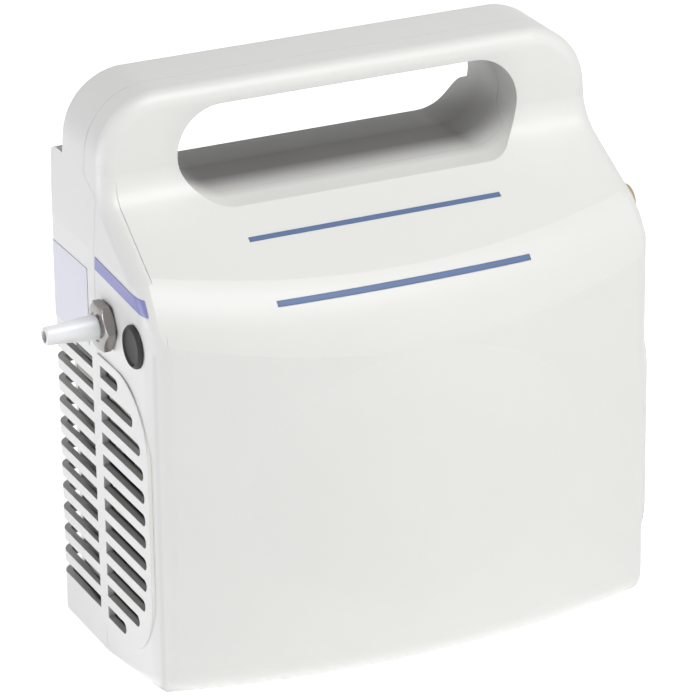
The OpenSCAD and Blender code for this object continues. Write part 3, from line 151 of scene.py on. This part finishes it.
class CaseSettings(bpy.types.PropertyGroup):
    case: bpy.props.FloatVectorProperty(
        name="Case", description="Colour of the moulded case",
        default=(0.78, 0.78, 0.755), subtype="COLOR", min=0.0, max=1.0)
    stripe: bpy.props.FloatVectorProperty(
        name="Lines", description="Ink of the two printed lines",
        default=(0.085, 0.145, 0.30), subtype="COLOR", min=0.0, max=1.0)
    strip: bpy.props.FloatVectorProperty(
        name="Side strip", description="Film of the strip on the left wall",
        default=(0.22, 0.23, 0.50), subtype="COLOR", min=0.0, max=1.0)
    label: bpy.props.FloatVectorProperty(
        name="Rating label", description="Film of the blank rating label",
        default=(0.66, 0.67, 0.74), subtype="COLOR", min=0.0, max=1.0)
    # Painted shade: inside is a dark tone painted onto the case's inner faces, seen through the slots, where they
    # lie in shadow. The real plastic is white there. The three limits below bound it.
    inside: bpy.props.FloatVectorProperty(
        name="Inside", description="Tone of the case's inner faces",
        default=(0.016, 0.014, 0.012), subtype="COLOR", min=0.0, max=1.0)
    painted_shade_front: bpy.props.FloatProperty(
        name="Dark from", description="Depth at which the inner faces' dark tone starts",
        default=-46.0 * MM, unit="LENGTH")
    painted_shade_back: bpy.props.FloatProperty(
        name="Dark to", description="Depth at which the inner faces' dark tone ends",
        default=38.0 * MM, unit="LENGTH")
    painted_shade_top: bpy.props.FloatProperty(
        name="Dark up to", description="Height at which the inner faces' dark tone ends",
        default=158.0 * MM, unit="LENGTH")
    # Painted shade: recess is a dark tone painted onto the rear of the hand opening, where the handle bar shades
    # it. The real plastic is white there.
    recess: bpy.props.FloatVectorProperty(
        name="Recess", description="Tone deep in the hand opening",
        default=(0.09, 0.085, 0.08), subtype="COLOR", min=0.0, max=1.0)
    recess_low: bpy.props.FloatVectorProperty(
        name="Recess from", description="Low corner of the toned recess",
        default=(-84.0 * MM, 4.0 * MM, 189.0 * MM), subtype="XYZ")
    recess_high: bpy.props.FloatVectorProperty(
        name="Recess to", description="High corner of the toned recess",
        default=(84.0 * MM, 66.0 * MM, 246.0 * MM), subtype="XYZ")
    grain: bpy.props.FloatProperty(
        name="Grain", description="Size of one grain of the moulded skin", default=0.0007, unit="LENGTH")


class FittingSettings(bpy.types.PropertyGroup):
    nut_flats: bpy.props.FloatProperty(
        name="Nut", description="Nut across its flats", default=19.0 * MM, unit="LENGTH")
    nut_height: bpy.props.FloatProperty(
        name="Nut height", description="Height of the nuts", default=5.0 * MM, unit="LENGTH")
    thread: bpy.props.FloatProperty(
        name="Thread", description="Diameter of the bulkheads' thread", default=13.9 * MM, unit="LENGTH")
    barb: bpy.props.FloatProperty(
        name="Barb", description="Diameter of the hose barbs", default=9.0 * MM, unit="LENGTH")
    bore: bpy.props.FloatProperty(
        name="Bore", description="Bore of the spigot and the bulkheads", default=5.0 * MM, unit="LENGTH")
    wall: bpy.props.FloatProperty(
        name="Wall", description="Thickness of the case", default=3.0 * MM, unit="LENGTH")
    spigot: bpy.props.FloatVectorProperty(
        name="Spigot", description="Nylon of the hose spigot",
        default=(0.86, 0.87, 0.88), subtype="COLOR", min=0.0, max=1.0)
    plating: bpy.props.FloatVectorProperty(
        name="Plating", description="Nickel of the nuts",
        default=(0.28, 0.265, 0.25), subtype="COLOR", min=0.0, max=1.0)
    plug: bpy.props.FloatVectorProperty(
        name="Plug", description="Black of the hole plug",
        default=(0.003, 0.003, 0.003), subtype="COLOR", min=0.0, max=1.0)


PROPERTY_GROUPS = {"pump_camera": CameraSettings, "pump_light": LightSettings, "pump_case": CaseSettings,
                   "pump_fittings": FittingSettings}


def group_node(tree, group, **values):
    node = tree.nodes.new("ShaderNodeGroup")
    node.node_tree = group
    for name, value in values.items():
        node.inputs[name.replace("_", " ")].default_value = value
    return node


def moulded_skin_group():
    """Fine moulded grain with slow changes of tone: colour, roughness and normal."""
    group = bpy.data.node_groups.get("Moulded skin")
    if group:
        return group
    group = bpy.data.node_groups.new("Moulded skin", "ShaderNodeTree")
    face = group.interface
    for name, kind, default in (
            ("Colour", "NodeSocketColor", (0.8, 0.8, 0.8, 1)), ("Grain size", "NodeSocketFloat", 0.0007),
            ("Grain depth", "NodeSocketFloat", 0.1), ("Tone change", "NodeSocketFloat", 0.03),
            ("Roughness", "NodeSocketFloat", 0.4), ("Roughness change", "NodeSocketFloat", 0.08),
            ("Edge radius", "NodeSocketFloat", 0.0003)):
        face.new_socket(name, in_out="INPUT", socket_type=kind).default_value = default
    face.new_socket("Colour", in_out="OUTPUT", socket_type="NodeSocketColor")
    face.new_socket("Roughness", in_out="OUTPUT", socket_type="NodeSocketFloat")
    face.new_socket("Normal", in_out="OUTPUT", socket_type="NodeSocketVector")
    make, link = group.nodes.new, group.links.new
    start, end = make("NodeGroupInput"), make("NodeGroupOutput")
    place = make("ShaderNodeTexCoord")
    scale = make("ShaderNodeMath")
    scale.operation = "DIVIDE"
    scale.inputs[0].default_value = 1.0
    link(start.outputs["Grain size"], scale.inputs[1])
    grain = make("ShaderNodeTexNoise")
    grain.inputs["Detail"].default_value = 2.0
    link(place.outputs["Object"], grain.inputs["Vector"])
    link(scale.outputs[0], grain.inputs["Scale"])
    bump = make("ShaderNodeBump")
    bump.inputs["Distance"].default_value = 0.0002
    link(grain.outputs["Fac"], bump.inputs["Height"])
    soft = make("ShaderNodeBevel")
    soft.samples = 6
    link(start.outputs["Edge radius"], soft.inputs["Radius"])
    link(soft.outputs["Normal"], bump.inputs["Normal"])
    link(start.outputs["Grain depth"], bump.inputs["Strength"])
    link(bump.outputs["Normal"], end.inputs["Normal"])
    slow = make("ShaderNodeTexNoise")
    slow.inputs["Scale"].default_value = 22.0
    slow.inputs["Detail"].default_value = 3.0
    link(place.outputs["Object"], slow.inputs["Vector"])
    centred = make("ShaderNodeMath")
    centred.operation = "SUBTRACT"
    link(slow.outputs["Fac"], centred.inputs[0])
    centred.inputs[1].default_value = 0.5
    tone = make("ShaderNodeMath")
    tone.operation = "MULTIPLY_ADD"
    link(centred.outputs[0], tone.inputs[0])
    link(start.outputs["Tone change"], tone.inputs[1])
    tone.inputs[2].default_value = 1.0
    colour = make("ShaderNodeVectorMath")
    colour.operation = "SCALE"
    link(start.outputs["Colour"], colour.inputs[0])
    link(tone.outputs[0], colour.inputs["Scale"])
    link(colour.outputs[0], end.inputs["Colour"])
    rough = make("ShaderNodeMath")
    rough.operation = "MULTIPLY_ADD"
    link(centred.outputs[0], rough.inputs[0])
    link(start.outputs["Roughness change"], rough.inputs[1])
    link(start.outputs["Roughness"], rough.inputs[2])
    link(rough.outputs[0], end.inputs["Roughness"])
    return group


def skin_material(name, colour, rough=0.4, grain=0.0007, depth=0.1, tone=0.03, metallic=0.0, **sockets):
    """A finish made from the moulded skin group; sockets set the shader's own values."""
    material = bpy.data.materials.get(name)
    if material:
        return material
    material = bpy.data.materials.new(name)
    material.use_nodes = True
    tree = material.node_tree
    shader = tree.nodes["Principled BSDF"]
    skin = group_node(tree, moulded_skin_group(), Colour=(*colour, 1), Grain_size=grain, Grain_depth=depth,
                      Tone_change=tone, Roughness=rough)
    tree.links.new(skin.outputs["Colour"], shader.inputs["Base Color"])
    tree.links.new(skin.outputs["Roughness"], shader.inputs["Roughness"])
    tree.links.new(skin.outputs["Normal"], shader.inputs["Normal"])
    shader.inputs["Metallic"].default_value = metallic
    for socket, value in sockets.items():
        shader.inputs[socket.replace("_", " ")].default_value = value
    return material


def dress(material, *names):
    """Gives CAD nodes a finish."""
    for name in names:
        mesh = NODES[name].data
        mesh.materials.clear()
        mesh.materials.append(material)


def finish_nodes(group):
    """Gives the CAD nodes of one group their finishes."""
    for name, nodes in WEARERS[group].items():
        colour, look = FINISHES[name]
        dress(skin_material(name, colour, **look), *nodes)


def shade_inside(material, low, high, soft, colour):
    """Paints shade into the skin's colour: turns it to another inside the box from low to high, over the distances
    soft.
    """
    tree = material.node_tree
    make, link = tree.nodes.new, tree.links.new
    place = make("ShaderNodeTexCoord")
    parts = make("ShaderNodeSeparateXYZ")
    link(place.outputs["Object"], parts.inputs[0])
    share = None
    for axis in range(3):
        for limit, sign in ((low[axis], 1.0), (high[axis], -1.0)):
            ramp = make("ShaderNodeMapRange")
            link(parts.outputs[axis], ramp.inputs["Value"])
            ramp.inputs["From Min"].default_value = limit
            ramp.inputs["From Max"].default_value = limit + sign * soft[axis]
            if share is None:
                share = ramp.outputs[0]
                continue
            both = make("ShaderNodeMath")
            both.operation = "MULTIPLY"
            link(share, both.inputs[0])
            link(ramp.outputs[0], both.inputs[1])
            share = both.outputs[0]
    shader = tree.nodes["Principled BSDF"]
    mix = make("ShaderNodeMix")
    mix.data_type = "RGBA"
    link(share, mix.inputs["Factor"])
    link(shader.inputs["Base Color"].links[0].from_socket, mix.inputs["A"])
    mix.inputs["B"].default_value = (*colour, 1)
    link(mix.outputs["Result"], shader.inputs["Base Color"])


def new_piece(name, shape, material, body, *replaced, sharp=32.0):
    """Makes a piece of a bmesh: it rides on a body and may stand for CAD nodes."""
    bmesh.ops.remove_doubles(shape, verts=shape.verts, dist=MM * 0.001)
    bmesh.ops.recalc_face_normals(shape, faces=shape.faces)
    mesh = bpy.data.meshes.new(name)
    shape.to_mesh(mesh)
    shape.free()
    mesh.shade_smooth()
    mesh.set_sharp_from_angle(angle=math.radians(sharp))
    mesh.materials.append(material)
    piece = bpy.data.objects.new(name, mesh)
    bpy.context.scene.collection.objects.link(piece)
    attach(piece, body)
    if replaced:
        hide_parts(*replaced)
    return piece


def softened(profile, radius, steps=4):
    """A profile's points with its corners rounded."""
    soft = [profile[0]]
    for before, here, after in zip(profile, profile[1:], profile[2:]):
        here = Vector(here)
        arms = [Vector(point) - here for point in (before, after)]
        ends = [here + arm.normalized() * min(radius, arm.length * 0.45) for arm in arms]
        for step in range(steps + 1):
            t = step / steps
            soft.append(tuple(ends[0] * (1 - t) ** 2 + here * 2 * t * (1 - t) + ends[1] * t ** 2))
    return [*soft, profile[-1]]


def turned(shape, profile, start, way, steps=64):
    """Spins a profile of (distance along the axis, radius) points round an axis."""
    start, way = Vector(start), Vector(way).normalized()
    side = way.orthogonal().normalized()
    ring = [shape.verts.new(start + way * along + side * radius) for along, radius in profile]
    edges = [shape.edges.new(pair) for pair in zip(ring, ring[1:])]
    bmesh.ops.spin(shape, geom=ring + edges, cent=start, axis=way, angle=math.tau, steps=steps, use_merge=True)


def nut(shape, flats, height, bore, start, way, steps=96):
    """A hexagon nut with a point upwards, chamfered in the round at both faces."""
    start, way = Vector(start), Vector(way).normalized()
    up = Vector((0, 0, 1))
    across = way.cross(up)
    edge = flats / 2 * 0.97
    rings = [[] for _ in range(6)]
    for step in range(steps):
        angle = math.tau * step / steps
        reach = flats / 2 / math.cos((angle + math.radians(30)) % math.radians(60) - math.radians(30))
        fall = (reach - edge) * math.tan(math.radians(30))
        spoke = up * math.cos(angle) + across * math.sin(angle)
        for ring, (along, radius) in zip(rings, ((0, bore / 2), (0, edge), (fall, reach), (height - fall, reach),
                                                 (height, edge), (height, bore / 2))):
            ring.append(shape.verts.new(start + way * along + spoke * radius))
    for inner, outer in zip(rings, rings[1:] + rings[:1]):
        for step in range(steps):
            after = (step + 1) % steps
            shape.faces.new((inner[step], inner[after], outer[after], outer[step]))


def soften_nodes(width, *names):
    """Rounds the edges of CAD nodes a little."""
    for name in names:
        weld = NODES[name].modifiers.new("Weld", "WELD")
        weld.merge_threshold = MM * 0.01
        bevel = NODES[name].modifiers.new("Edges", "BEVEL")
        bevel.width = width
        bevel.segments = 3
        bevel.limit_method = "ANGLE"
        bevel.angle_limit = math.radians(35)
        bevel.use_clamp_overlap = True


class PUMP_OT_case(bpy.types.Operator):
    """Finish the two halves of the case, with shade painted onto their inner faces and deep in the hand opening.
    """
    bl_idname = "pump.case"
    bl_label = "Case"

    def execute(self, context):
        case = context.scene.pump_case
        plastic = skin_material("Moulded plastic", case.case, rough=0.42, grain=case.grain, depth=0.05)
        wall = context.scene.pump_fittings.wall
        low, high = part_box("rear_shell")
        skin, fade = wall * 0.5, wall * 0.4
        # Paints shade onto the case's inner faces, dark where shadow falls inside the case.
        shade_inside(plastic, (low.x + skin, case.painted_shade_front, low.z + wall),
                     (high.x - skin, case.painted_shade_back, case.painted_shade_top), (fade, wall * 4, fade), case.inside)
        # Paints shade deep in the hand opening, where the handle bar shades it.
        shade_inside(plastic, case.recess_low, case.recess_high, (wall * 8, wall * 8, wall * 3), case.recess)
        dress(plastic, "front_shell", "rear_shell")
        dress(skin_material("Line ink", case.stripe, rough=0.5), "front_stripes")
        dress(skin_material("Strip film", case.strip, rough=0.35), "side_strip")
        dress(skin_material("Label film", case.label, rough=0.3), "rating_label")
        return {"FINISHED"}


def bulkhead(name, node, sign, settings, plating):
    """A bulkhead through a side wall: nut outside, thread, nut inside and hose barb."""
    low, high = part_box(node)
    height, wall = settings.nut_height, settings.wall
    face = high.x - height if sign > 0 else low.x + height
    start = Vector((face, (low.y + high.y) / 2, (low.z + high.z) / 2))
    way = Vector((sign, 0, 0))
    reach = high.x - low.x - height
    shape = bmesh.new()
    root = settings.thread * 0.9
    nut(shape, settings.nut_flats, height, root, start, way)
    nut(shape, settings.nut_flats, height, root, start - way * (wall + height), way)
    thread, bore, barb = settings.thread / 2, settings.bore / 2, settings.barb / 2
    groove, chamfer, barb_length, barb_gap, barb_cut = 0.5 * MM, 0.8 * MM, 3 * MM, 0.2 * MM, 0.6 * MM
    inner = -wall * 4
    ribs = [(-wall - height - turn * MM, thread - (groove if turn % 2 else 0)) for turn in range(5)]
    barbs = [(inner - step * barb_length + edge, barb - cut) for step in range(int((reach + inner) / barb_length))
             for edge, cut in ((0, 0), (barb_gap - barb_length, barb_cut))]
    profile = [(height - chamfer, barb + CLEARANCE), (height - chamfer / 2, thread - groove),
               (height - chamfer, thread), (-wall - height, thread), *ribs, (inner, thread), (inner, barb), *barbs,
               (-reach, barb - barb_cut), (-reach, bore), (-wall * 3, bore),
               (-wall * 3, barb + CLEARANCE), (height - chamfer, barb + CLEARANCE)]
    turned(shape, profile, start, way)
    new_piece(name, shape, plating, "pump", node)


def nose(settings):
    """The spigot over the inlet bulkhead: a slim taper with a lip at its bore."""
    low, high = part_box("hose_spigot")
    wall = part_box("inlet_bulkhead")[0].x + settings.nut_height
    reach, height, bore, barb = wall - low.x, settings.nut_height, settings.bore / 2, settings.barb / 2
    foot, body = wall - high.x, (high.z - low.z) / 2
    seat = height + 2 * CLEARANCE
    profile = softened([
        (foot, bore), (foot, barb), (seat, barb), (seat, body * 0.66), (height + 2.2 * MM, body * 0.65),
        (height + 8 * MM, body * 0.6), (reach - 9 * MM, body * 0.53), (reach - 6 * MM, body * 0.51),
        (reach - 0.8 * MM, body * 0.5), (reach, body * 0.46), (reach, bore), (foot, bore)], 0.7 * MM)
    shape = bmesh.new()
    turned(shape, profile, (wall, (low.y + high.y) / 2, (low.z + high.z) / 2), (-1, 0, 0))
    nylon = skin_material("Spigot nylon", settings.spigot, rough=0.32, depth=0.03,
                          Subsurface_Weight=0.15, Subsurface_Scale=0.002)
    new_piece("spigot", shape, nylon, "pump", "hose_spigot", sharp=60.0)


def snap_plug(settings):
    """The dished plug in the left wall."""
    low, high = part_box("hole_plug")
    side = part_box("rear_shell")[0].x
    rise, radius, stem = side - low.x, (high.z - low.z) / 2, side - high.x
    profile = softened([
        (stem, 0), (stem, radius * 0.72), (stem * 0.6, radius * 0.8), (CLEARANCE, radius * 0.76),
        (CLEARANCE, radius), (rise * 0.5, radius), (rise, radius * 0.9), (rise, radius * 0.84),
        (rise * 0.55, radius * 0.8), (rise * 0.4, 0)], 0.35 * MM)
    shape = bmesh.new()
    turned(shape, profile, (side, (low.y + high.y) / 2, (low.z + high.z) / 2), (-1, 0, 0))
    black = skin_material("Plug black", settings.plug, rough=0.55, grain=0.0011, depth=0.6, tone=1.2)
    new_piece("plug", shape, black, "pump", "hole_plug", sharp=45.0)


class PUMP_OT_fittings(bpy.types.Operator):
    """Make the spigot, the bulkheads and the plug, and give the screws their finish."""
    bl_idname = "pump.fittings"
    bl_label = "Fittings"

    def execute(self, context):
        settings = context.scene.pump_fittings
        plating = skin_material("Nickel plate", settings.plating, rough=0.2, metallic=1.0, depth=0.02)
        bulkhead("inlet_fitting", "inlet_bulkhead", -1, settings, plating)
        bulkhead("exhaust_fitting", "exhaust_bulkhead", 1, settings, plating)
        nose(settings)
        snap_plug(settings)
        finish_nodes("fittings")
        soften_nodes(0.8 * MM, "feet", "exhaust_silencer")
        return {"FINISHED"}


class PUMP_OT_inside(bpy.types.Operator):
    """Finish the motor, the heads and the hoses."""
    bl_idname = "pump.inside"
    bl_label = "Inside"

    def execute(self, context):
        finish_nodes("inside")
        return {"FINISHED"}


class PUMP_OT_electrics(bpy.types.Operator):
    """Finish the mains inlet and the switch."""
    bl_idname = "pump.electrics"
    bl_label = "Electrics"

    def execute(self, context):
        finish_nodes("electrics")
        soften_nodes(0.5 * MM, "mains_inlet", "switch_body", "switch_rocker")
        return {"FINISHED"}


def seen_as_background(tree):
    """1 for camera, glossy and transmission rays."""
    path = tree.nodes.new("ShaderNodeLightPath")
    first = tree.nodes.new("ShaderNodeMath")
    first.operation = "MAXIMUM"
    tree.links.new(path.outputs["Is Camera Ray"], first.inputs[0])
    tree.links.new(path.outputs["Is Glossy Ray"], first.inputs[1])
    second = tree.nodes.new("ShaderNodeMath")
    second.operation = "MAXIMUM"
    tree.links.new(first.outputs[0], second.inputs[0])
    tree.links.new(path.outputs["Is Transmission Ray"], second.inputs[1])
    return second.outputs[0]


class PUMP_OT_stage(bpy.types.Operator):
    """Set the floor, the world, the lamps and the camera."""
    bl_idname = "pump.stage"
    bl_label = "Stage"

    def execute(self, context):
        scene = context.scene
        light = scene.pump_light
        world = bpy.data.worlds.new("Studio")
        scene.world = world
        world.use_nodes = True
        tree = world.node_tree
        back = tree.nodes["Background"]
        back.inputs["Color"].default_value = (1, 1, 1, 1)
        strength = tree.nodes.new("ShaderNodeMapRange")
        tree.links.new(seen_as_background(tree), strength.inputs["Value"])
        strength.inputs["To Min"].default_value = light.ambient
        strength.inputs["To Max"].default_value = 1.0
        tree.links.new(strength.outputs[0], back.inputs["Strength"])

        grid = bmesh.new()
        bmesh.ops.create_grid(grid, x_segments=1, y_segments=1, size=FLOOR_REACH)
        mesh = bpy.data.meshes.new("Floor")
        grid.to_mesh(mesh)
        grid.free()
        floor = bpy.data.objects.new("Floor", mesh)
        scene.collection.objects.link(floor)
        paper = bpy.data.materials.new("Floor paper")
        paper.use_nodes = True
        tree = paper.node_tree
        shader = tree.nodes["Principled BSDF"]
        shader.inputs["Base Color"].default_value = (0.86, 0.86, 0.86, 1)
        shader.inputs["Roughness"].default_value = 0.9
        shader.inputs["Emission Color"].default_value = (1, 1, 1, 1)
        lift = tree.nodes.new("ShaderNodeMath")
        lift.operation = "MULTIPLY_ADD"
        tree.links.new(seen_as_background(tree), lift.inputs[0])
        lift.inputs[1].default_value = light.floor_glow - light.floor_bounce
        lift.inputs[2].default_value = light.floor_bounce
        tree.links.new(lift.outputs[0], shader.inputs["Emission Strength"])
        mesh.materials.append(paper)

        for name, power, direction, distance, size in LAMPS:
            lamp = bpy.data.lights.new(name, "AREA")
            lamp.energy = getattr(light, power)
            lamp.size = size
            if power == "side_power":
                lamp.color = light.side_colour
            holder = bpy.data.objects.new(name, lamp)
            way = Vector(direction).normalized()
            holder.location = Vector(LAMP_AIM) + way * distance
            holder.rotation_euler = way.to_track_quat("Z", "Y").to_euler()
            scene.collection.objects.link(holder)

        settings = scene.pump_camera
        lens = bpy.data.cameras.new("Camera")
        lens.lens = settings.lens
        lens.sensor_width = 36.0
        camera = bpy.data.objects.new("Camera", lens)
        a, e = settings.azimuth, settings.elevation
        back_way = Vector((math.sin(a) * math.cos(e), -math.cos(a) * math.cos(e), math.sin(e)))
        camera.location = Vector(settings.target) + back_way * settings.distance
        turn = (-back_way).to_track_quat("-Z", "Y").to_matrix() @ Matrix.Rotation(-settings.roll, 3, "Z")
        camera.rotation_euler = turn.to_euler()
        scene.collection.objects.link(camera)
        scene.camera = camera
        scene.view_settings.view_transform = "Standard"
        return {"FINISHED"}


OPERATORS = (PUMP_OT_stage, PUMP_OT_case, PUMP_OT_fittings, PUMP_OT_inside, PUMP_OT_electrics)


class PUMP_PT_looks(bpy.types.Panel):
    """Buttons for each part of the pump's looks."""
    bl_idname = "PUMP_PT_looks"
    bl_label = "Vacuum pump"
    bl_space_type = "VIEW_3D"
    bl_region_type = "UI"
    bl_category = "Pump"

    def draw(self, context):
        for operator in OPERATORS:
            self.layout.operator(operator.bl_idname)
        for name in PROPERTY_GROUPS:
            group = getattr(context.scene, name)
            for key in group.bl_rna.properties.keys():
                if key not in {"rna_type", "name"}:
                    self.layout.prop(group, key)


def register():
    for name, group in PROPERTY_GROUPS.items():
        bpy.utils.register_class(group)
        setattr(bpy.types.Scene, name, bpy.props.PointerProperty(type=group))
    for cls in (*OPERATORS, PUMP_PT_looks):
        bpy.utils.register_class(cls)


def unregister():
    for cls in reversed((*OPERATORS, PUMP_PT_looks)):
        bpy.utils.unregister_class(cls)
    for name, group in PROPERTY_GROUPS.items():
        delattr(bpy.types.Scene, name)
        bpy.utils.unregister_class(group)


def main():
    register()
    for operator in OPERATORS:
        family, name = operator.bl_idname.split(".")
        getattr(getattr(bpy.ops, family), name)()


if __name__ == "__main__":
    main()
